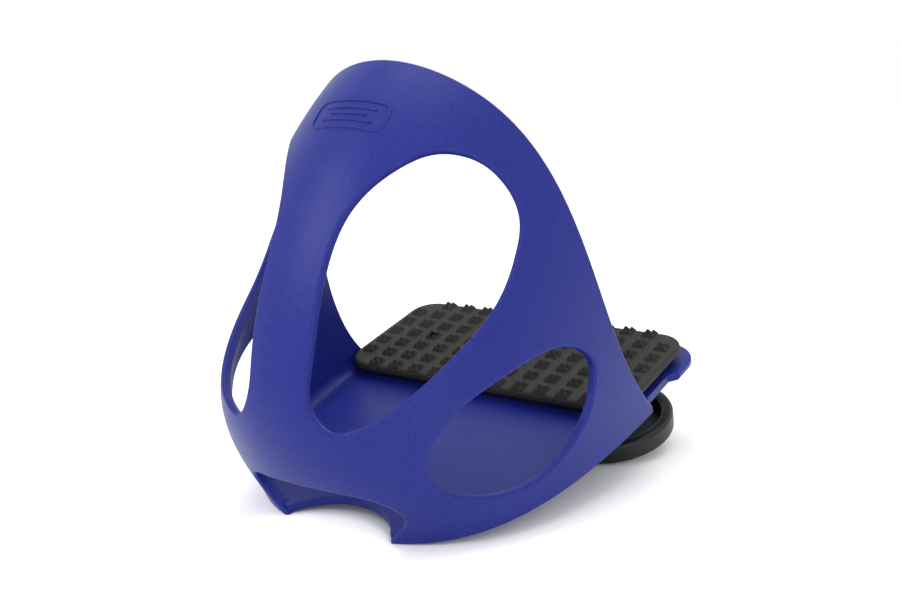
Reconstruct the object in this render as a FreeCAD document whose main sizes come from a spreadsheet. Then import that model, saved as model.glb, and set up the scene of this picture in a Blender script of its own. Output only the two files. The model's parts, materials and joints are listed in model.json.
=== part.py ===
"""Clamp-on toe cage for a riding stirrup, drawn as a FreeCAD document in millimetres."""
import FreeCAD
import Part
import math
import os

V = FreeCAD.Vector
Spin = FreeCAD.Rotation
doc = FreeCAD.newDocument("ToeCage")

# ---------------------------------------------------------------- driving dimensions
sizes = doc.addObject("Spreadsheet::Sheet", "Sizes")
drivingSizes = [
    # toe cap: a squashed ball whose poles point left and right
    ("capHalfWidth", 63.3),
    ("capRadius", 134.0),
    ("capToeRadius", 114.0),
    ("capHeightAboveFloor", 6.0),
    ("capFullnessTop", 0.064),
    ("capFullnessBottom", 0.20),
    ("wallThickness", 3.0),
    # foot mouth, a curve that leans forward as it rises
    ("mouthFootSetback", 12.5),
    ("mouthMiddleSetback", 34.0),
    ("mouthShoulderSetback", 41.5),
    ("mouthTopSetback", 49.0),
    # toe openings, one on each side of the spine
    ("spineHalfWidth", 11.0),
    ("openingSideBand", 16.5),
    ("openingTop", 36.5),
    ("openingBottom", 51.3),
    ("openingTilt", 50.0),
    # side windows
    ("windowToeBand", 4.5),
    ("windowRear", 44.0),
    ("windowBottom", 7.0),
    ("windowTop", 44.0),
    # toe slot and the hooks on each side of it
    ("slotHalfWidth", 28.5),
    ("slotHeight", 20.8),
    ("hookSpread", 20.5),
    ("hookSetback", 4.0),
    ("floorBiteDepth", 11.5),
    # floor plate
    ("floorThickness", 3.0),
    ("floorSideInset", 3.8),
    ("earSideInset", 0.8),
    ("earFront", 9.0),
    ("floorRearMargin", 4.6),
    ("floorCornerRadius", 13.0),
    ("cornerFillet", 4.0),
    ("rimRounding", 1.0),
    # tread pad
    ("padSideClearance", 0.9),
    ("padHalfDepth", 28.4),
    ("padThickness", 6.0),
    ("padCornerRadius", 10.0),
    ("padChamfer", 1.2),
    ("studEndMargin", 5.4),
    ("studSideMargin", 2.9),
    ("studBase", 5.6),
    ("studTip", 1.2),
    ("studHeight", 2.4),
    # clamp screws and what is on them
    ("screwDiameter", 5.0),
    ("screwLength", 25.0),
    ("screwHeadDiameter", 9.5),
    ("screwHeadHeight", 2.75),
    ("keyWidth", 3.0),
    ("keyDepth", 1.6),
    ("keyHoleDiameter", 4.0),
    ("washerDiameter", 10.0),
    ("washerThickness", 1.0),
    ("nutWidth", 8.0),
    ("nutThickness", 4.7),
    # clamp discs
    ("clampGap", 11.4),
    ("discRadius", 25.8),
    ("discHeight", 7.5),
    ("discLipWidth", 4.4),
    ("discWeb", 2.5),
    ("hubRadius", 8.0),
    ("hubSetback", 1.0),
    ("runningClearance", 0.06),
    ("pressClearance", 0.02),
    ("looseClearance", 0.4),
    # small roundings, and how far cutters reach past everything
    ("discRounding", 1.6),
    ("headRounding", 1.65),
    ("screwTipChamfer", 0.6),
    ("cutterReach", 200.0),
]
for row, (alias, value) in enumerate(drivingSizes, 1):
    sizes.set("A%d" % row, alias)
    sizes.set("B%d" % row, repr(value))
    sizes.setAlias("B%d" % row, alias)
doc.recompute()


def size(alias):
    """Value of a driving dimension as it stands in the sheet."""
    return float(sizes.get(alias))


sides = {"right": 1, "left": -1}
farAway = size("cutterReach")

# ---------------------------------------------------------------- sizes that follow from others
# The pad fills the floor between the walls, and the clamp screws stand under its fifth stud columns.
studColumns, studRows, screwColumn = 13, 7, 4
padHalfLengthRule = "(Sizes.capHalfWidth - Sizes.wallThickness - Sizes.padSideClearance)"
padHalfLength = size("capHalfWidth") - size("wallThickness") - size("padSideClearance")
pitchAcross = 2 * (padHalfLength - size("studEndMargin")) / (studColumns - 1)
pitchDeep = 2 * (size("padHalfDepth") - size("studSideMargin")) / (studRows - 1)
screwOffset = screwColumn * pitchAcross
screwOffsetRule = "(%d * 2 * (%s - Sizes.studEndMargin) / %d)" % (
    screwColumn, padHalfLengthRule, studColumns - 1)
openingOuterEdge = size("capHalfWidth") - size("openingSideBand")
windowFront = size("capToeRadius") - size("windowToeBand")
hookReach = size("capToeRadius") - size("hookSetback")
floorFrontReach = hookReach - size("floorBiteDepth")
floorRear = size("padHalfDepth") + size("floorRearMargin")

# ---------------------------------------------------------------- toe cap surface
# The floor's top face is height 0, the toe points along -Y and the tread is centred on the origin.
capHeight = size("capHeightAboveFloor")
wall = size("wallThickness")
floorBottom = -size("floorThickness")
tuckStart, tuckEnd = 70.0, 98.0
fullStart, fullEnd = 50.0, 95.0
firstSweep, lastSweep, sweepCount = 6.0, 138.0, 25
poleTurn, turnCount = 86.0, 41
halvings = 40


def span(share, start, end):
    return start + share * (end - start)


def ease(value, start, end):
    """Smooth step from 0 at start to 1 at end."""
    share = min(max((value - start) / (end - start), 0.0), 1.0)
    return share * share * (3 - 2 * share)


def capPoint(sweep, turn, inset=0.0):
    """Point of the cap: sweep runs from upright over the toe, turn from pole to pole."""
    topRadius = size("capRadius") - inset
    toeRadius = size("capToeRadius") - inset
    radius = topRadius + (toeRadius - topRadius) * ease(sweep, tuckStart, tuckEnd)
    top, bottom = size("capFullnessTop"), size("capFullnessBottom")
    fullness = top + (bottom - top) * ease(sweep, fullStart, fullEnd)
    sine, cosine = math.sin(math.radians(turn)), math.cos(math.radians(turn))
    across = (size("capHalfWidth") - inset) * sine * (1 + fullness * cosine ** 2)
    reach = radius * cosine * (1 + fullness * sine ** 2)
    angle = math.radians(sweep)
    return V(across, -reach * math.sin(angle), capHeight + reach * math.cos(angle))


def capFace(inset):
    """Face through a grid of cap points, all at the same inset."""
    sweeps = [span(step / (sweepCount - 1), firstSweep, lastSweep) for step in range(sweepCount)]
    turns = [span(step / (turnCount - 1), -poleTurn, poleTurn) for step in range(turnCount)]
    surface = Part.BSplineSurface()
    surface.interpolate([[capPoint(sweep, turn, inset) for turn in turns] for sweep in sweeps])
    return surface.toShape()


def capSkin():
    """Wall of even thickness between the outer and the inner cap face."""
    outer, inner = capFace(0.0), capFace(wall)
    rims = [Part.makeRuledSurface(a, b) for a, b in zip(outer.Edges, inner.Edges)]
    shell = Part.makeShell([outer, inner] + rims)
    shell.sewShape()
    solid = Part.makeSolid(shell)
    if solid.Volume < 0:
        solid.reverse()
    return solid


def capSweepAt(height, turn, inset):
    """Sweep at which the cap comes down to a height below its centre."""
    low, high = 90.0, lastSweep
    for _ in range(halvings):
        middle = (low + high) / 2
        low, high = (middle, high) if capPoint(middle, turn, inset).z > height else (low, middle)
    return low


def closedCurve(points):
    """Face inside a smooth closed curve through the points."""
    curve = Part.BSplineCurve()
    curve.interpolate(Points=points, PeriodicFlag=True)
    return Part.Face(Part.Wire(curve.toShape()))


def feature(name, shape):
    item = doc.addObject("Part::Feature", name)
    item.Shape = shape
    return item


# Points of the foot mouth's curve: share of the cap's height, and the setback there.
mouthOutline = [(0.00, "mouthFootSetback"), (0.49, "mouthMiddleSetback"),
                (0.81, "mouthShoulderSetback"), (0.93, "mouthTopSetback")]
mouthEndShare, mouthEndStep, mouthFootLean = 1.1, 1.5, 6.0


def mouthCutter():
    """Everything behind the curve of the foot mouth, drawn up past the top of the cap."""
    top = capHeight + size("capRadius")
    points = [V(-farAway / 2, -size(setback), share * top) for share, setback in mouthOutline]
    lastStep = points[-1].y - points[-2].y
    points.append(V(-farAway / 2, points[-1].y + mouthEndStep * lastStep, mouthEndShare * top))
    curve = Part.BSplineCurve()
    curve.interpolate(points)
    foot, end = points[0], points[-1]
    behind = [V(end.x, farAway, end.z), V(foot.x, farAway, -farAway),
              V(foot.x, foot.y + mouthFootLean, -farAway)]
    lines = [Part.makeLine(a, b) for a, b in zip([end] + behind, behind + [foot])]
    return Part.Face(Part.Wire([curve.toShape()] + lines)).extrude(V(farAway, 0, 0))


# Outline of a toe opening: shares of its width from the spine, and of its height from the top.
openingOutline = [
    (1.00, 0.28), (0.97, 0.48), (0.80, 0.73), (0.61, 0.88), (0.32, 0.985), (0.16, 1.00),
    (0.03, 0.95), (0.00, 0.83), (0.00, 0.43), (0.05, 0.30), (0.31, 0.09), (0.49, 0.015),
    (0.68, 0.00), (0.87, 0.055),
]
openingCutterStart = 30.0


def openingCutter(side):
    """Prism through the cap, square to the toe at the opening's tilt."""
    tilt = math.radians(size("openingTilt"))
    outward = V(0, -math.sin(tilt), math.cos(tilt))
    down = V(0, -math.cos(tilt), -math.sin(tilt))
    points = []
    for across, along in openingOutline:
        x = side * span(across, size("spineHalfWidth"), openingOuterEdge)
        drop = span(along, -size("openingTop"), size("openingBottom"))
        points.append(V(x, 0, capHeight) + down * drop + outward * openingCutterStart)
    return closedCurve(points).extrude(outward * farAway)


# Outline of a side window: shares of its length from the rear, and of its height from the foot.
windowOutline = [
    (0.00, 0.58), (0.10, 0.30), (0.30, 0.085), (0.56, 0.00), (0.80, 0.10), (0.97, 0.35),
    (1.00, 0.60), (0.90, 0.84), (0.64, 0.98), (0.34, 1.00), (0.10, 0.88),
]


def windowCutter():
    """Prism through both side walls."""
    points = []
    for along, up in windowOutline:
        y = -span(along, size("windowRear"), windowFront)
        z = span(up, size("windowBottom"), size("windowTop"))
        points.append(V(-farAway / 2, y, z))
    return closedCurve(points).extrude(V(farAway, 0, 0))


# Outline of the toe slot above the hooks: shares of its half width and of its height.
slotOutline = [(1.00, 0.40), (0.84, 0.78), (0.48, 0.95)]
slotFlare, slotBelow, slotRear = 2.0, 3.0, 92.0


def slotCutter():
    """Arch through the toe wall, narrowing to the hooks at the floor."""
    half, high, hook = size("slotHalfWidth"), size("slotHeight"), size("hookSpread")
    right = [V(hook - slotFlare, 0, floorBottom - slotBelow), V(hook + slotFlare, 0, 0)]
    right += [V(across * half, 0, up * high) for across, up in slotOutline]
    left = [V(-point.x, 0, point.z) for point in reversed(right)]
    curve = Part.BSplineCurve()
    curve.interpolate(right + [V(0, 0, high)] + left)
    arch = Part.Wire([curve.toShape(), Part.makeLine(left[-1], right[0])])
    arch.translate(V(0, -farAway, 0))
    return Part.Face(arch).extrude(V(0, farAway - slotRear, 0))


plateTurns = [84, 76, 66, 56, 46, 36, 26, 16, 8]
earStep = 3.0


def floorPlate():
    """Plate out to the middle of the wall, with an ear on each side behind the mouth."""
    right = []
    for turn in plateTurns:
        point = capPoint(capSweepAt(floorBottom / 2, turn, wall / 2), turn, wall / 2)
        right.append(V(point.x, point.y, floorBottom))
    front = V(0, capPoint(capSweepAt(floorBottom / 2, 0, wall / 2), 0, wall / 2).y, floorBottom)
    curve = Part.BSplineCurve()
    curve.interpolate(right + [front] + [V(-p.x, p.y, p.z) for p in reversed(right)])
    half = size("capHalfWidth") - size("floorSideInset")
    ear, step = size("capHalfWidth") - size("earSideInset"), size("earFront")
    rear, corner = floorRear, size("floorCornerRadius")
    diagonal = corner * (1 - math.sqrt(0.5))
    flank = [right[0], V(half, right[0].y + earStep, floorBottom), V(half, step, floorBottom),
             V(ear, step + earStep, floorBottom), V(ear, rear - corner, floorBottom)]
    bend = [flank[-1], V(ear - diagonal, rear - diagonal, floorBottom),
            V(ear - corner, rear, floorBottom)]
    edges = [curve.toShape()]
    for side in (1, -1):
        line = [V(side * p.x, p.y, p.z) for p in flank]
        edges += [Part.makeLine(a, b) for a, b in zip(line, line[1:])]
        edges.append(Part.Arc(*[V(side * p.x, p.y, p.z) for p in bend]).toShape())
    edges.append(Part.makeLine(bend[-1], V(-bend[-1].x, rear, floorBottom)))
    outline = Part.Wire(Part.sortEdges(edges)[0])
    return Part.Face(outline).extrude(V(0, 0, -floorBottom))


def floorFrontCutter():
    """Round bite out of the floor's front edge, between the hooks."""
    depth = size("floorBiteDepth")
    radius = (size("hookSpread") ** 2 + depth ** 2) / (2 * depth)
    centre = V(0, -floorFrontReach - radius, 2 * floorBottom)
    return Part.makeCylinder(radius, -4 * floorBottom, centre)


# ---------------------------------------------------------------- drawing helpers
def block(name, bind, offset):
    """Box with its sizes and its place bound to the sheet."""
    item = doc.addObject("Part::Box", name)
    for prop, expression in bind.items():
        item.setExpression(prop, expression)
    for axis, expression in offset.items():
        item.setExpression("Placement.Base." + axis, expression)
    return item


def rod(name, radius, height, x="0", z="0"):
    """Upright cylinder with its sizes and its place bound to the sheet."""
    item = doc.addObject("Part::Cylinder", name)
    item.setExpression("Radius", radius)
    item.setExpression("Height", height)
    item.setExpression("Placement.Base.x", x)
    item.setExpression("Placement.Base.z", z)
    return item


def hexagon(name, acrossFlats, height, z="0"):
    """Upright hexagonal prism bound to the sheet."""
    item = doc.addObject("Part::Prism", name)
    item.Polygon = 6
    item.setExpression("Circumradius", "(%s) / 2 / cos(30 deg)" % acrossFlats)
    item.setExpression("Height", height)
    item.setExpression("Placement.Base.z", z)
    return item


def cut(name, base, *tools):
    for index, tool in enumerate(tools, 1):
        item = doc.addObject("Part::Cut", "%sCut%d" % (name, index))
        item.Base, item.Tool = base, tool
        base = item
    return base


def fuse(name, base, tool):
    item = doc.addObject("Part::Fuse", name)
    item.Base, item.Tool = base, tool
    item.Refine = True
    return item


def blend(kind, name, base, radius, pick):
    """Fillet or chamfer of one size on the edges that pick() chooses."""
    doc.recompute()
    item = doc.addObject("Part::" + kind, name)
    item.Base = base
    chosen = [index for index, edge in enumerate(base.Shape.Edges, 1) if pick(edge)]
    item.Edges = [(index, radius, radius) for index in chosen]
    return item


flatness = 0.01


def level(edge, height):
    """True for an edge that lies flat at this height."""
    box = edge.BoundBox
    return abs(box.ZMin - height) < flatness and abs(box.ZMax - height) < flatness


def isCurve(edge):
    return edge.Curve.TypeId == "Part::GeomBSplineCurve"


# ---------------------------------------------------------------- cage shell
longRim = 60.0


def isWindowRim(edge):
    """Edges of the toe openings and side windows, each one closed loop."""
    return len(edge.Vertexes) == 1 and edge.Length > longRim


def isSlotRim(edge):
    box = edge.BoundBox
    return longRim < edge.Length < 2 * longRim and box.YMax < -windowFront + 2 * wall and \
        abs(box.XMin + box.XMax) < 1


def isCorner(edge):
    """Inner corner between the wall and the floor."""
    return level(edge, 0) and isCurve(edge) and edge.Length > longRim


def isMouthRim(edge):
    """Outer edge of the foot mouth, the longest edge of all."""
    return edge.Length > 5 * longRim and edge.BoundBox.XMax > size("capHalfWidth") - wall / 2


def isEarEdge(edge):
    return edge.BoundBox.YMin > size("earFront") and (level(edge, 0) or level(edge, floorBottom))


skin = cut("Cap", feature("CapSkin", capSkin()),
           feature("MouthCutter", mouthCutter()),
           block("BelowFloor", {"Length": "2 * Sizes.cutterReach", "Width": "2 * Sizes.cutterReach",
                                "Height": "Sizes.cutterReach"},
                 {"x": "-Sizes.cutterReach", "y": "-Sizes.cutterReach",
                  "z": "-Sizes.cutterReach - Sizes.floorThickness"}),
           feature("WindowCutter", windowCutter()),
           feature("SlotCutter", slotCutter()),
           *[feature(side + "OpeningCutter", openingCutter(sign)) for side, sign in sides.items()])
skin = blend("Fillet", "WindowRims", skin, size("rimRounding"), isWindowRim)
plate = cut("Plate", feature("FloorPlate", floorPlate()), feature("FloorBite", floorFrontCutter()))
plate = blend("Fillet", "PlateRounded", plate, size("rimRounding"), isEarEdge)
cage = fuse("CapOnPlate", skin, plate)
screwHoleRadius = "Sizes.screwDiameter / 2 + Sizes.looseClearance"
for side, sign in sides.items():
    hole = rod(side + "FloorHole", screwHoleRadius, "3 * Sizes.floorThickness",
               "%d * %s" % (sign, screwOffsetRule), "-2 * Sizes.floorThickness")
    cage = cut(side + "Drilled", cage, hole)
cage = blend("Fillet", "CornerRounded", cage, size("cornerFillet"), isCorner)
cage = blend("Fillet", "SlotRim", cage, size("rimRounding"), isSlotRim)
cage = blend("Fillet", "MouthRim", cage, size("rimRounding"), isMouthRim)

# ---------------------------------------------------------------- tread pad
def studs():
    """Rows of blunt pyramids, without the four at the pad's round corners."""
    base, tip, tall = size("studBase") / 2, size("studTip") / 2, size("studHeight")
    lift = Part.makeWedge(-base, 0, -base, -tip, -tip, base, tall, base, tip, tip)
    lift.rotate(V(0, 0, 0), V(1, 0, 0), 90)
    found = []
    lastColumn, lastRow = (studColumns - 1) // 2, (studRows - 1) // 2
    for column in range(-lastColumn, lastColumn + 1):
        for row in range(-lastRow, lastRow + 1):
            if abs(column) == lastColumn and abs(row) == lastRow:
                continue
            place = V(column * pitchAcross, row * pitchDeep, size("padThickness"))
            found.append(lift.translated(place))
    return Part.makeCompound(found)


padBlock = block("PadBlock", {"Length": "2 * " + padHalfLengthRule, "Width": "2 * Sizes.padHalfDepth",
                              "Height": "Sizes.padThickness"},
                 {"x": "-" + padHalfLengthRule, "y": "-Sizes.padHalfDepth"})
pad = blend("Fillet", "PadCorners", padBlock, size("padCornerRadius"),
            lambda edge: edge.BoundBox.ZLength > size("padThickness") / 2)
pad = blend("Chamfer", "PadChamfer", pad, size("padChamfer"),
            lambda edge: level(edge, size("padThickness")))
# The pad's foot is cut back far enough to clear the rounded corner between wall and floor.
footChamfer = size("cornerFillet") - size("padSideClearance") + size("looseClearance")
pad = blend("Chamfer", "PadFoot", pad, footChamfer, lambda edge: level(edge, 0))
pad = fuse("PadWithStuds", pad, feature("Studs", studs()))
headRoom = "Sizes.washerThickness + Sizes.screwHeadHeight + Sizes.looseClearance"
for side, sign in sides.items():
    place = "%d * %s" % (sign, screwOffsetRule)
    pocket = rod(side + "HeadPocket", "Sizes.washerDiameter / 2 + Sizes.looseClearance",
                 headRoom, place)
    keyHole = rod(side + "KeyHole", "Sizes.keyHoleDiameter / 2", "2 * Sizes.padThickness", place)
    pad = cut(side + "Pad", pad, pocket, keyHole)

# ---------------------------------------------------------------- clamp, once for each side
nodes = {"cage_shell": (cage, V(0, 0, 0)), "tread_pad": (pad, V(0, 0, 0))}
discBottom = floorBottom - size("clampGap") - size("discHeight")
nutRoom = "Sizes.nutThickness + 2 * Sizes.pressClearance"


def clampDisc(side):
    """Dished disc with a thick lip, open upward, and a hub that holds a nut from below."""
    whole = rod(side + "DiscBlank", "Sizes.discRadius", "Sizes.discHeight")
    blank = blend("Fillet", side + "DiscFoot", whole, size("discRounding"),
                  lambda edge: level(edge, 0))
    dish = rod(side + "DiscDish", "Sizes.discRadius - Sizes.discLipWidth", "Sizes.discHeight",
               z="Sizes.discWeb")
    hub = rod(side + "DiscHub", "Sizes.hubRadius", "Sizes.discHeight - Sizes.hubSetback")
    disc = fuse(side + "DiscWithHub", cut(side + "Dish", blank, dish), hub)
    disc = blend("Fillet", side + "DiscLip", disc, size("discRounding"),
                 lambda edge: level(edge, size("discHeight")))
    pocket = hexagon(side + "NutPocket", "Sizes.nutWidth + 2 * Sizes.pressClearance", nutRoom)
    bore = rod(side + "DiscBore", screwHoleRadius, "Sizes.discHeight")
    return cut(side + "Disc", disc, pocket, bore)


def captiveNut(side):
    bore = rod(side + "NutBore", "Sizes.screwDiameter / 2 + Sizes.runningClearance",
               "Sizes.nutThickness")
    return cut(side + "Nut", hexagon(side + "NutBlank", "Sizes.nutWidth", "Sizes.nutThickness"), bore)


def clampWasher(side):
    disc = rod(side + "WasherBlank", "Sizes.washerDiameter / 2", "Sizes.washerThickness")
    bore = rod(side + "WasherBore", "Sizes.screwDiameter / 2 + Sizes.runningClearance",
               "Sizes.washerThickness")
    return cut(side + "Washer", disc, bore)


def clampScrew(side):
    """Button-head screw, measured from the underside of its head."""
    shank = rod(side + "Shank", "Sizes.screwDiameter / 2", "Sizes.screwLength",
                z="-Sizes.screwLength")
    shank = blend("Chamfer", side + "ShankTip", shank, size("screwTipChamfer"),
                  lambda edge: level(edge, -size("screwLength")))
    top = rod(side + "Head", "Sizes.screwHeadDiameter / 2", "Sizes.screwHeadHeight")
    top = blend("Fillet", side + "HeadRounded", top, size("headRounding"),
                lambda edge: level(edge, size("screwHeadHeight")))
    socket = hexagon(side + "KeySocket", "Sizes.keyWidth", "Sizes.screwHeadHeight",
                     "Sizes.screwHeadHeight - Sizes.keyDepth")
    return cut(side + "Screw", fuse(side + "ShankAndHead", top, shank), socket)


for side, sign in sides.items():
    across = sign * screwOffset
    nodes["clamp_disc_" + side] = (clampDisc(side), V(across, 0, discBottom))
    nodes["captive_nut_" + side] = (captiveNut(side), V(across, 0, discBottom + size("pressClearance")))
    nodes["screw_washer_" + side] = (clampWasher(side), V(across, 0, 0))
    nodes["clamp_screw_" + side] = (clampScrew(side), V(across, 0, size("washerThickness")))
doc.recompute()

# ---------------------------------------------------------------- standing pose
# The cage stands nose down, on its two hooks and on the front edges of its discs.
fine = 0.05


def corners(shape, place):
    return [place + point for point in shape.tessellate(fine)[0]]


cagePoints = corners(cage.Shape, V(0, 0, 0))
discPoints = corners(nodes["clamp_disc_right"][0].Shape, nodes["clamp_disc_right"][1])


def lowest(points, tilt):
    return min(point.y * math.sin(tilt) + point.z * math.cos(tilt) for point in points)


steepest = 30.0
low, high = 0.0, math.radians(steepest)
for _ in range(halvings):
    tilt = (low + high) / 2
    low, high = (tilt, high) if lowest(cagePoints, tilt) > lowest(discPoints, tilt) else (low, tilt)
leaning = Spin(V(1, 0, 0), math.degrees(tilt))
ends = [leaning.multVec(point) for point in cagePoints + discPoints]
depthMiddle = (min(point.y for point in ends) + max(point.y for point in ends)) / 2
lift = V(0, -depthMiddle, -min(point.z for point in ends))
for label, (item, place) in nodes.items():
    item.Label = label
    item.Placement = FreeCAD.Placement(lift + leaning.multVec(place), leaning)
doc.recompute()

# ---------------------------------------------------------------- checks and files
for item in doc.Objects:
    if {"Invalid", "Error"} & set(item.State):
        raise RuntimeError("%s did not build: %s" % (item.Label, item.State))
for label, (item, place) in nodes.items():
    if item.Shape.isNull() or not item.Shape.isValid() or len(item.Shape.Solids) != 1:
        raise RuntimeError(label + " is not one valid solid")
os.makedirs("parts", exist_ok=True)
for label, (item, place) in nodes.items():
    item.Shape.exportStep("parts/%s.step" % label)
    box = item.Shape.BoundBox
    print("%-20s volume %9.1f  x %.1f..%.1f  y %.1f..%.1f  z %.1f..%.1f" % (
        label, item.Shape.Volume, box.XMin, box.XMax, box.YMin, box.YMax, box.ZMin, box.ZMax))
print("lean %.4f degrees, lift %.4f %.4f" % (math.degrees(tilt), lift.y, lift.z))
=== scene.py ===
import bpy, bmesh, json, math
from mathutils import Matrix, Vector
from mathutils.bvhtree import BVHTree


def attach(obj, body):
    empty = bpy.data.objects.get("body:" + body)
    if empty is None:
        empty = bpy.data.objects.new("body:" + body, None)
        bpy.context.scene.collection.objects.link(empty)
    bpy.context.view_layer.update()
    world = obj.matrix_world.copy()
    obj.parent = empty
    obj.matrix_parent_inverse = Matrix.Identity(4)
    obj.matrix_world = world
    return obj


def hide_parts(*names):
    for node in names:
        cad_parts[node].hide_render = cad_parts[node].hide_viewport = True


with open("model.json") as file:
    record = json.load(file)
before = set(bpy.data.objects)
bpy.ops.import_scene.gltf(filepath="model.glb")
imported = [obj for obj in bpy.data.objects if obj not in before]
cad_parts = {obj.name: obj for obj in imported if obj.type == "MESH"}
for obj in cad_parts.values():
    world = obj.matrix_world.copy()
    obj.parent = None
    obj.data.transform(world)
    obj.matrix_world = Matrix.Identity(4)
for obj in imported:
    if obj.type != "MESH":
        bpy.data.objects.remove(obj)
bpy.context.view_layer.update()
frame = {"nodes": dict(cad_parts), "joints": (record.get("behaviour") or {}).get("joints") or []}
sides = {"right": 1, "left": -1}
mm = 0.001

# the tread leans nose down; its own axes come from the clamp screws' joints
screwJoints = {joint["name"]: joint for joint in frame["joints"]}
treadUp = Vector(screwJoints["screw_spin_right"]["axis"]).normalized()
treadRear = Vector((0, treadUp.z, -treadUp.y))
washerTop = Vector(screwJoints["screw_spin_right"]["pos_m"])
screwOffset = washerTop.x
washerThickness = 1.0 * mm
treadOrigin = Vector((0, washerTop.y, washerTop.z)) - treadUp * washerThickness  # middle of the floor's top
treadFrame = Matrix((
    (1, 0, 0, treadOrigin.x),
    (0, treadRear.y, treadUp.y, treadOrigin.y),
    (0, treadRear.z, treadUp.z, treadOrigin.z),
    (0, 0, 0, 1),
))


# ---- shader groups
def newGroup(name, inputs, outputs):
    group = bpy.data.node_groups.new(name, "ShaderNodeTree")
    for label, kind, value in inputs:
        socket = group.interface.new_socket(label, in_out="INPUT", socket_type=kind)
        if value is not None:
            socket.default_value = value
    for label, kind in outputs:
        group.interface.new_socket(label, in_out="OUTPUT", socket_type=kind)
    return group, group.nodes.new("NodeGroupInput"), group.nodes.new("NodeGroupOutput")


def addNoise(group, vector, scale, detail, rough=0.5):
    noise = group.nodes.new("ShaderNodeTexNoise")
    noise.inputs["Detail"].default_value = detail
    noise.inputs["Roughness"].default_value = rough
    group.links.new(vector, noise.inputs["Vector"])
    group.links.new(scale, noise.inputs["Scale"])
    return noise.outputs["Fac"]


def addMath(group, kind, first, second):
    node = group.nodes.new("ShaderNodeMath")
    node.operation = kind
    for socket, value in zip(node.inputs, (first, second)):
        if isinstance(value, (int, float)):
            socket.default_value = value
        else:
            group.links.new(value, socket)
    return node.outputs[0]


def addRange(group, value, low, high, newLow, newHigh):
    node = group.nodes.new("ShaderNodeMapRange")
    for label, number in (("From Min", low), ("From Max", high), ("To Min", newLow), ("To Max", newHigh)):
        node.inputs[label].default_value = number
    group.links.new(value, node.inputs["Value"])
    return node.outputs["Result"]


def makeMouldGrain():
    # spark-eroded mould texture: fine pimples over a faint orange peel
    group, given, out = newGroup(
        "mouldGrain",
        [("Grain Scale", "NodeSocketFloat", 2200.0), ("Peel Scale", "NodeSocketFloat", 260.0),
         ("Peel Share", "NodeSocketFloat", 0.3)],
        [("Height", "NodeSocketFloat"), ("Speckle", "NodeSocketFloat")])
    where = group.nodes.new("ShaderNodeTexCoord").outputs["Object"]
    grain = addNoise(group, where, given.outputs["Grain Scale"], 2.0, 0.6)
    peel = addNoise(group, where, given.outputs["Peel Scale"], 1.0)
    height = addMath(group, "ADD", grain, addMath(group, "MULTIPLY", peel, given.outputs["Peel Share"]))
    group.links.new(height, out.inputs["Height"])
    group.links.new(addRange(group, grain, 0.35, 0.7, 0.0, 1.0), out.inputs["Speckle"])
    return group


def makeHandling():
    # broad uneven shine from handling, and thin scuffs where the surface has been rubbed
    group, given, out = newGroup(
        "handling",
        [("Patch Scale", "NodeSocketFloat", 22.0), ("Scuff Scale", "NodeSocketFloat", 90.0),
         ("Scuff Amount", "NodeSocketFloat", 0.4)],
        [("Patches", "NodeSocketFloat"), ("Scuffs", "NodeSocketFloat")])
    where = group.nodes.new("ShaderNodeTexCoord").outputs["Object"]
    stretch = group.nodes.new("ShaderNodeMapping")
    stretch.inputs["Rotation"].default_value = (0.5, 0.3, 0.9)
    stretch.inputs["Scale"].default_value = (1.0, 0.06, 1.0)
    group.links.new(where, stretch.inputs["Vector"])
    patches = addNoise(group, where, given.outputs["Patch Scale"], 3.0)
    streaks = addNoise(group, stretch.outputs["Vector"], given.outputs["Scuff Scale"], 6.0, 0.7)
    spots = addRange(group, patches, 0.5, 0.62, 0.0, 1.0)
    scuffs = addMath(group, "MULTIPLY", addRange(group, streaks, 0.64, 0.74, 0.0, 1.0), spots)
    group.links.new(patches, out.inputs["Patches"])
    group.links.new(addMath(group, "MULTIPLY", scuffs, given.outputs["Scuff Amount"]), out.inputs["Scuffs"])
    return group


mouldGrain, handling = makeMouldGrain(), makeHandling()
print("shader groups made")

# ---- materials
finishes = {
    "cageBlue": {"colour": (0.006, 0.012, 0.15), "worn": (0.036, 0.050, 0.34), "rough": (0.36, 0.48),
                 "grain": 1500.0, "speckle": 0.22, "bump": 0.5, "bumpDepth": 0.00010, "specular": 0.20,
                 "scuffs": 0.35},
    "padRubber": {"colour": (0.016, 0.016, 0.014), "worn": (0.055, 0.054, 0.048), "rough": (0.60, 0.74),
                  "grain": 1300.0, "speckle": 0.22, "bump": 0.30, "bumpDepth": 0.00012,
                  "specular": 0.25, "scuffs": 0.5},
    "discBlack": {"colour": (0.005, 0.005, 0.0055), "worn": (0.020, 0.020, 0.021),
                  "rough": (0.38, 0.50), "grain": 1700.0, "speckle": 0.22, "bump": 0.14,
                  "bumpDepth": 0.00008, "specular": 0.30, "scuffs": 0.3},
}
zincFinish = {"dull": (0.52, 0.53, 0.55), "bright": (0.66, 0.65, 0.62), "rough": (0.26, 0.42),
              "patches": 400.0}
patchRange = (0.3, 0.7)  # the patch noise between which roughness runs


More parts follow.
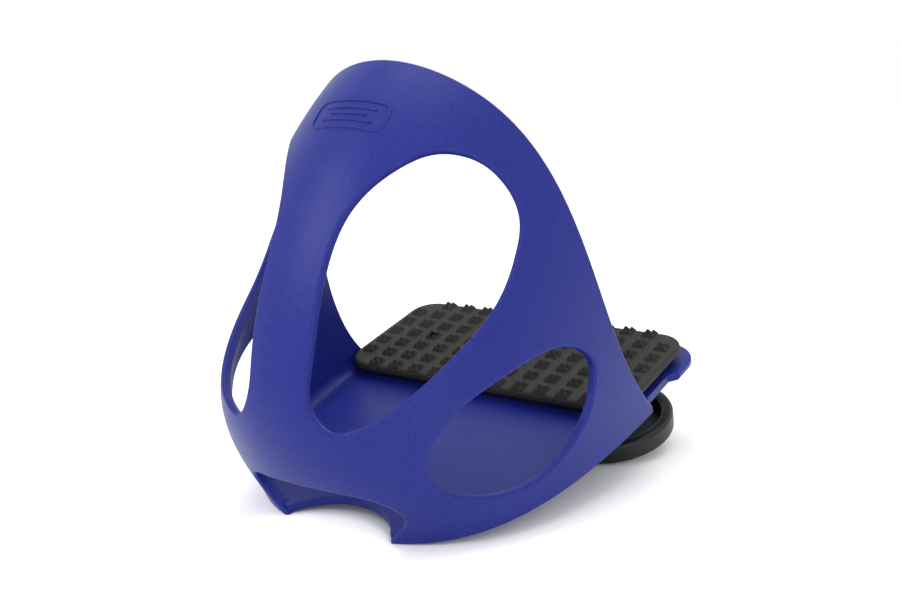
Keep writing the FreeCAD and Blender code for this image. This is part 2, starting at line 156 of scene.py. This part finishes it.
def mouldedMaterial(name):
    finish = finishes[name]
    material = bpy.data.materials.new(name)
    material.use_nodes = True
    tree = material.node_tree
    shader = tree.nodes["Principled BSDF"]
    grain = tree.nodes.new("ShaderNodeGroup")
    grain.node_tree = mouldGrain
    grain.inputs["Grain Scale"].default_value = finish["grain"]
    touched = tree.nodes.new("ShaderNodeGroup")
    touched.node_tree = handling
    touched.inputs["Scuff Amount"].default_value = finish["scuffs"]
    tone = tree.nodes.new("ShaderNodeMix")
    tone.data_type = "RGBA"
    tone.inputs["A"].default_value = (*finish["colour"], 1)
    tone.inputs["B"].default_value = (*finish["worn"], 1)
    light = addMath(tree, "ADD", touched.outputs["Scuffs"],
                    addMath(tree, "MULTIPLY", grain.outputs["Speckle"], finish["speckle"]))
    tree.links.new(light, tone.inputs["Factor"])
    tree.links.new(tone.outputs["Result"], shader.inputs["Base Color"])
    low, high = finish["rough"]
    roughness = addRange(tree, touched.outputs["Patches"], *patchRange, low, high)
    tree.links.new(roughness, shader.inputs["Roughness"])
    bump = tree.nodes.new("ShaderNodeBump")
    bump.inputs["Strength"].default_value = finish["bump"]
    bump.inputs["Distance"].default_value = finish["bumpDepth"]
    tree.links.new(grain.outputs["Height"], bump.inputs["Height"])
    tree.links.new(bump.outputs["Normal"], shader.inputs["Normal"])
    shader.inputs["Specular IOR Level"].default_value = finish["specular"]
    return material


def zincMaterial():
    # turned steel under a thin zinc coat
    material = bpy.data.materials.new("zincSteel")
    material.use_nodes = True
    tree = material.node_tree
    shader = tree.nodes["Principled BSDF"]
    touched = tree.nodes.new("ShaderNodeGroup")
    touched.node_tree = handling
    touched.inputs["Patch Scale"].default_value = zincFinish["patches"]
    tone = tree.nodes.new("ShaderNodeMix")
    tone.data_type = "RGBA"
    tone.inputs["A"].default_value = (*zincFinish["dull"], 1)
    tone.inputs["B"].default_value = (*zincFinish["bright"], 1)
    tree.links.new(touched.outputs["Patches"], tone.inputs["Factor"])
    tree.links.new(tone.outputs["Result"], shader.inputs["Base Color"])
    roughness = addRange(tree, touched.outputs["Patches"], *patchRange, *zincFinish["rough"])
    tree.links.new(roughness, shader.inputs["Roughness"])
    shader.inputs["Metallic"].default_value = 1.0
    return material


materials = {name: mouldedMaterial(name) for name in finishes}
materials["zincSteel"] = zincMaterial()


def dress(node, name):
    node.data.materials.clear()
    node.data.materials.append(materials[name])


for name, node in frame["nodes"].items():
    if name == "cage_shell":
        dress(node, "cageBlue")
    elif name == "tread_pad":
        dress(node, "padRubber")
    elif name.startswith("clamp_disc"):
        dress(node, "discBlack")
    else:
        dress(node, "zincSteel")
print("materials made")


# ---- mesh helpers
def newPiece(name, mesh, material, place=treadFrame):
    piece = bpy.data.objects.new(name, mesh)
    bpy.context.scene.collection.objects.link(piece)
    mesh.transform(place)
    mesh.materials.clear()
    mesh.materials.append(materials[material])
    return piece


def stackedRings(rings):
    # closed solid through rings of equal count, each a list of points
    build = bmesh.new()
    loops = [[build.verts.new(point) for point in ring] for ring in rings]
    for below, above in zip(loops, loops[1:]):
        for index in range(len(below)):
            after = (index + 1) % len(below)
            build.faces.new((below[index], below[after], above[after], above[index]))
    build.faces.new(list(reversed(loops[0])))
    build.faces.new(loops[-1])
    mesh = bpy.data.meshes.new("rings")
    build.to_mesh(mesh)
    build.free()
    return mesh


def bakedMesh(item):
    # the object's evaluated mesh, with its modifiers and its helper object gone
    result = bpy.data.meshes.new_from_object(item.evaluated_get(bpy.context.evaluated_depsgraph_get()))
    bpy.data.objects.remove(item)
    return result


# ---- tread pad
padSizes = {"halfLength": 59.4 * mm, "halfDepth": 28.4 * mm, "thickness": 6.0 * mm, "corner": 10.0 * mm,
            "keyHole": 2.0 * mm, "headPocket": 5.4 * mm, "pocketDepth": 4.15 * mm,
            "boreFrom": -2 * mm, "boreTo": 12 * mm,
            # height and inset of each ring from the foot up, in millimetres
            "edge": [(0.0, 3.5), (3.5, 0.0), (4.7, 0.0), (5.2, 0.12), (5.6, 0.38), (5.88, 0.75),
                     (6.0, 1.25)],
            "cornerSteps": 12}
studSizes = {"columns": 13, "rows": 7, "pitchAcross": 9.0 * mm, "pitchDeep": 8.5 * mm, "base": 5.0 * mm,
             "height": 1.6 * mm, "plinth": 0.12 * mm, "tip": 0.5 * mm,
             "sunk": 0.2 * mm, "plinthShare": 0.94}


def roundedRing(halfLength, halfDepth, corner, height, steps):
    ring = []
    for across, along, start in ((1, 1, 0), (-1, 1, 90), (-1, -1, 180), (1, -1, 270)):
        for step in range(steps + 1):
            angle = math.radians(start + 90 * step / steps)
            ring.append(Vector((across * (halfLength - corner) + corner * math.cos(angle),
                                along * (halfDepth - corner) + corner * math.sin(angle), height)))
    return ring


def padSlab():
    rings = []
    for height, inset in padSizes["edge"]:
        rings.append(roundedRing(padSizes["halfLength"] - inset * mm, padSizes["halfDepth"] - inset * mm,
                                 padSizes["corner"] - inset * mm, height * mm, padSizes["cornerSteps"]))
    return stackedRings(rings)


def studMesh():
    # four small closed pyramids side by side, their feet sunk a little into the slab
    half, low, high = studSizes["base"] / 2, studSizes["plinth"], studSizes["height"]
    build = bmesh.new()
    quarter = half / 2
    for across in (-1, 1):
        for along in (-1, 1):
            centre = Vector((across * quarter, along * quarter, 0))
            rings = []
            for size, level in ((quarter, -studSizes["sunk"]), (quarter * studSizes["plinthShare"], low),
                                (studSizes["tip"] / 2, high)):
                rings.append([build.verts.new(centre + Vector((x * size, y * size, level)))
                              for x, y in ((-1, -1), (1, -1), (1, 1), (-1, 1))])
            for below, above in zip(rings, rings[1:]):
                for index in range(4):
                    after = (index + 1) % 4
                    build.faces.new((below[index], below[after], above[after], above[index]))
            build.faces.new(list(reversed(rings[0])))
            build.faces.new(rings[-1])
    mesh = bpy.data.meshes.new("stud")
    build.to_mesh(mesh)
    build.free()
    return mesh


def studField():
    # Geometry Nodes: a grid of points without its corners, a stud on each
    tree = bpy.data.node_groups.new("studField", "GeometryNodeTree")
    sockets = {}
    for label, kind in (("Columns", "NodeSocketInt"), ("Rows", "NodeSocketInt"),
                        ("Pitch Across", "NodeSocketFloat"), ("Pitch Deep", "NodeSocketFloat"),
                        ("Stud", "NodeSocketObject"), ("Rubber", "NodeSocketMaterial")):
        sockets[label] = tree.interface.new_socket(label, in_out="INPUT", socket_type=kind).identifier
    tree.interface.new_socket("Geometry", in_out="OUTPUT", socket_type="NodeSocketGeometry")
    given, out = tree.nodes.new("NodeGroupInput"), tree.nodes.new("NodeGroupOutput")
    grid = tree.nodes.new("GeometryNodeMeshGrid")
    for count, pitch, side, vertices in (("Columns", "Pitch Across", "Size X", "Vertices X"),
                                         ("Rows", "Pitch Deep", "Size Y", "Vertices Y")):
        tree.links.new(given.outputs[count], grid.inputs[vertices])
        gaps = addMath(tree, "SUBTRACT", given.outputs[count], 1.0)
        tree.links.new(addMath(tree, "MULTIPLY", gaps, given.outputs[pitch]), grid.inputs[side])
    neighbours = tree.nodes.new("GeometryNodeInputMeshVertexNeighbors")
    corner = tree.nodes.new("FunctionNodeCompare")
    corner.data_type, corner.operation = "INT", "EQUAL"
    tree.links.new(neighbours.outputs["Vertex Count"], corner.inputs["A"])
    cornerNeighbours = 2
    next(s for s in corner.inputs if s.name == "B" and s.type == "INT").default_value = cornerNeighbours
    thin = tree.nodes.new("GeometryNodeDeleteGeometry")
    thin.domain = "POINT"
    tree.links.new(grid.outputs["Mesh"], thin.inputs["Geometry"])
    tree.links.new(corner.outputs["Result"], thin.inputs["Selection"])
    stud = tree.nodes.new("GeometryNodeObjectInfo")
    tree.links.new(given.outputs["Stud"], stud.inputs["Object"])
    spread = tree.nodes.new("GeometryNodeInstanceOnPoints")
    tree.links.new(thin.outputs["Geometry"], spread.inputs["Points"])
    tree.links.new(stud.outputs["Geometry"], spread.inputs["Instance"])
    real = tree.nodes.new("GeometryNodeRealizeInstances")
    paint = tree.nodes.new("GeometryNodeSetMaterial")
    tree.links.new(spread.outputs["Instances"], real.inputs["Geometry"])
    tree.links.new(real.outputs["Geometry"], paint.inputs["Geometry"])
    tree.links.new(given.outputs["Rubber"], paint.inputs["Material"])
    tree.links.new(paint.outputs["Geometry"], out.inputs["Geometry"])
    pattern = bpy.data.objects.new("studPattern", studMesh())
    holder = bpy.data.objects.new("studHolder", bpy.data.meshes.new("studHolder"))
    bpy.context.scene.collection.objects.link(holder)
    field = holder.modifiers.new("studField", "NODES")
    field.node_group = tree
    values = {"Columns": studSizes["columns"], "Rows": studSizes["rows"],
              "Pitch Across": studSizes["pitchAcross"], "Pitch Deep": studSizes["pitchDeep"],
              "Stud": pattern, "Rubber": materials["padRubber"]}
    for label, value in values.items():
        field[sockets[label]] = value
    mesh = bakedMesh(holder)
    bpy.data.objects.remove(pattern)
    mesh.transform(Matrix.Translation((0, 0, padSizes["thickness"])))
    return mesh


boreSteps = 32


def drilled(mesh, bores):
    # bores: radius, lowest and highest level, drilled at both screw places
    item = bpy.data.objects.new("drilled", mesh)
    bpy.context.scene.collection.objects.link(item)
    drills = []
    for sign in sides.values():
        for radius, low, high in bores:
            turns = [math.tau * step / boreSteps for step in range(boreSteps)]
            middle = sign * screwOffset
            spots = [(middle + radius * math.cos(turn), radius * math.sin(turn)) for turn in turns]
            circle = [[Vector((*spot, level)) for spot in spots] for level in (low, high)]
            drill = bpy.data.objects.new("drill", stackedRings(circle))
            bpy.context.scene.collection.objects.link(drill)
            cutting = item.modifiers.new("bore", "BOOLEAN")
            cutting.operation, cutting.solver, cutting.object = "DIFFERENCE", "EXACT", drill
            drills.append(drill)
    result = bakedMesh(item)
    for drill in drills:
        bpy.data.objects.remove(drill)
    return result


def makePad():
    through = (padSizes["keyHole"], padSizes["boreFrom"], padSizes["boreTo"])
    pocket = (padSizes["headPocket"], padSizes["boreFrom"], padSizes["pocketDepth"])
    slab = newPiece("padSlab", drilled(padSlab(), [through, pocket]), "padRubber")
    grip = newPiece("padStuds", drilled(studField(), [through]), "padRubber")
    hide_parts("tread_pad")
    for piece in (slab, grip):
        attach(piece, "cage")


makePad()
print("tread pad made")

# ---- brow mark: a plain raised frame with bars, laid onto the shell
markSizes = {"height": 119 * mm, "reach": -70 * mm, "halfWidth": 13.5 * mm, "halfHeight": 5.2 * mm,
             "line": 0.55 * mm, "lineTop": 0.55, "relief": 0.35 * mm, "sunk": 0.15 * mm,
             "cornerShare": 0.6, "cornerSteps": 8, "step": 0.8 * mm, "aimFrom": 15 * mm,
             "bars": 3, "barPitch": 0.45, "longBar": 0.68, "shortBar": 0.5, "barSteps": 30}


def barPath(points, closed):
    # ribbon with sloping sides along points in the mark's own plane; z is 0 at its foot and 1 on top
    build = bmesh.new()
    half = markSizes["line"]
    count = len(points)
    rails = []
    for index, point in enumerate(points):
        before = points[index - 1] if closed or index else point
        after = points[(index + 1) % count] if closed or index < count - 1 else point
        along = (after - before).normalized()
        side = Vector((-along.y, along.x)) * half
        crown = side * markSizes["lineTop"]
        rails.append((point + side, point + crown, point - crown, point - side))
    heights = (0.0, 1.0, 1.0, 0.0)
    loops = [[build.verts.new((spot.x, spot.y, high)) for spot, high in zip(rail, heights)]
             for rail in rails]
    pairs = list(zip(loops, loops[1:])) + ([(loops[-1], loops[0])] if closed else [])
    for first, second in pairs:
        for index in range(4):
            after = (index + 1) % 4
            build.faces.new((first[index], second[index], second[after], first[after]))
    if not closed:
        build.faces.new(loops[0])
        build.faces.new(list(reversed(loops[-1])))
    return build


def makeMark():
    wide, tall = markSizes["halfWidth"], markSizes["halfHeight"]
    ring = roundedRing(wide, tall, tall * markSizes["cornerShare"], 0, markSizes["cornerSteps"])
    outline = [Vector((point.x, point.y)) for point in ring]
    dense = []
    for first, second in zip(outline, outline[1:] + outline[:1]):
        steps = max(1, int((second - first).length / markSizes["step"]))
        dense += [first.lerp(second, step / steps) for step in range(steps)]
    shapes = [(dense, True)]
    for bar in range(markSizes["bars"]):
        level = tall * markSizes["barPitch"] * (bar - (markSizes["bars"] - 1) / 2)
        reach = wide * markSizes["longBar" if bar % 2 == 0 else "shortBar"]
        steps = markSizes["barSteps"]
        points = [Vector((-reach + 2 * reach * step / steps, level)) for step in range(steps + 1)]
        shapes.append((points, False))
    joined = bpy.data.meshes.new("browMark")
    whole = bmesh.new()
    for points, closed in shapes:
        part = barPath(points, closed)
        scrap = bpy.data.meshes.new("scrap")
        part.to_mesh(scrap)
        part.free()
        whole.from_mesh(scrap)
        bpy.data.meshes.remove(scrap)
    shell = BVHTree.FromObject(frame["nodes"]["cage_shell"], bpy.context.evaluated_depsgraph_get())
    middle = treadFrame @ Vector((0, markSizes["reach"], markSizes["height"]))
    spot, normal, _, _ = shell.find_nearest(middle)
    if normal.dot(spot - treadOrigin) < 0:
        normal.negate()
    down = -(normal.cross(Vector((1, 0, 0)))).normalized()
    if down.z > 0:
        down.negate()
    for vert in whole.verts:
        start = spot + Vector((1, 0, 0)) * vert.co.x - down * vert.co.y + normal * markSizes["aimFrom"]
        hit = shell.ray_cast(start, -normal)[0]
        lift = markSizes["relief"] if vert.co.z > 0 else -markSizes["sunk"]
        vert.co = hit + normal * lift
    bmesh.ops.recalc_face_normals(whole, faces=whole.faces)
    whole.to_mesh(joined)
    whole.free()
    mark = newPiece("browMark", joined, "cageBlue", Matrix.Identity(4))
    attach(mark, "cage")


makeMark()
print("brow mark made")

# ---- screw threads
threadSizes = {"shank": 2.5 * mm, "relief": 0.05 * mm, "pitch": 0.8 * mm, "top": -6.5 * mm,
               "length": 18.0 * mm, "steps": 20,
               "section": [(-0.02, 0.42), (1.0, 0.08), (1.0, -0.08), (-0.02, -0.42)]}


def makeThread(side, sign):
    # one helical ridge with its two flanks, wound round the shank below the head
    turns = int(threadSizes["length"] / threadSizes["pitch"])
    count = turns * threadSizes["steps"]
    build = bmesh.new()
    previous = None
    for step in range(count + 1):
        angle = -math.tau * step / threadSizes["steps"]  # right-handed: it turns clockwise on its way down
        level = threadSizes["top"] - threadSizes["pitch"] * step / threadSizes["steps"]
        section = []
        fade = min(1.0, step / threadSizes["steps"], (count - step) / threadSizes["steps"])
        for radius, shift in threadSizes["section"]:
            out = threadSizes["shank"] + threadSizes["relief"] * radius * fade
            section.append(build.verts.new((out * math.cos(angle), out * math.sin(angle),
                                            level + shift * threadSizes["pitch"])))
        if previous:
            for index in range(4):
                after = (index + 1) % 4
                build.faces.new((previous[index], section[index], section[after], previous[after]))
        else:
            build.faces.new(section)
        previous = section
    build.faces.new(list(reversed(previous)))
    bmesh.ops.recalc_face_normals(build, faces=build.faces)
    mesh = bpy.data.meshes.new("screwThread_" + side)
    build.to_mesh(mesh)
    build.free()
    place = treadFrame @ Matrix.Translation((sign * screwOffset, 0, washerThickness))
    thread = newPiece("screwThread_" + side, mesh, "zincSteel", place)
    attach(thread, "screw_" + side)


for side, sign in sides.items():
    makeThread(side, sign)
print("screw threads made")

# ---- floor, light and camera
stageSizes = {"floor": 3.0, "floorColour": (0.98, 0.98, 0.98, 1), "world": 1.0, "floorRough": 0.9,
              "aim": (0, 0, 0.06)}
bpy.ops.mesh.primitive_plane_add(size=stageSizes["floor"])
floor = bpy.context.object
floor.name = "floor"
pale = bpy.data.materials.new("paleFloor")
pale.use_nodes = True
pale.node_tree.nodes["Principled BSDF"].inputs["Base Color"].default_value = stageSizes["floorColour"]
pale.node_tree.nodes["Principled BSDF"].inputs["Roughness"].default_value = stageSizes["floorRough"]
floor.data.materials.append(pale)

lamps = {
    "keyLight": {"place": (-0.35, -0.75, 0.75), "size": 0.5, "power": 5.0},
    "fillLight": {"place": (0.75, -0.45, 0.35), "size": 0.7, "power": 2.0},
    "topLight": {"place": (0.0, 0.25, 0.95), "size": 0.7, "power": 3.5},
}
for name, lamp in lamps.items():
    light = bpy.data.lights.new(name, "AREA")
    light.size, light.energy = lamp["size"], lamp["power"]
    holder = bpy.data.objects.new(name, light)
    holder.location = lamp["place"]
    aim = Vector(stageSizes["aim"]) - Vector(lamp["place"])
    holder.rotation_euler = aim.to_track_quat("-Z", "Y").to_euler()
    bpy.context.scene.collection.objects.link(holder)

world = bpy.data.worlds.new("paleRoom")
world.use_nodes = True
world.node_tree.nodes["Background"].inputs["Color"].default_value = (1, 1, 1, 1)
world.node_tree.nodes["Background"].inputs["Strength"].default_value = stageSizes["world"]
bpy.context.scene.world = world
bpy.context.scene.view_settings.view_transform = "Standard"  # keeps the blue from washing out

cameraView = {"place": (0.23462, -0.33666, 0.16079), "azimuth": 34.184, "elevation": 13.571, "roll": -1.294,
              "lens": 49.6, "sensor": 36.0, "nearest": 0.01}


def makeCamera():
    data = bpy.data.cameras.new("camera")
    data.lens = cameraView["lens"]
    data.sensor_width = cameraView["sensor"]
    data.clip_start = cameraView["nearest"]
    azimuth, elevation = math.radians(cameraView["azimuth"]), math.radians(cameraView["elevation"])
    back = Vector((math.sin(azimuth) * math.cos(elevation), -math.cos(azimuth) * math.cos(elevation),
                   math.sin(elevation)))
    level = Vector((math.cos(azimuth), math.sin(azimuth), 0))
    turn = Matrix.Rotation(math.radians(cameraView["roll"]), 3, back)
    right = turn @ level
    up = back.cross(right)
    holder = bpy.data.objects.new("camera", data)
    axes = Matrix((right, up, back)).transposed()
    holder.matrix_world = Matrix.Translation(cameraView["place"]) @ axes.to_4x4()
    bpy.context.scene.collection.objects.link(holder)
    bpy.context.scene.camera = holder


makeCamera()
print("stage made")
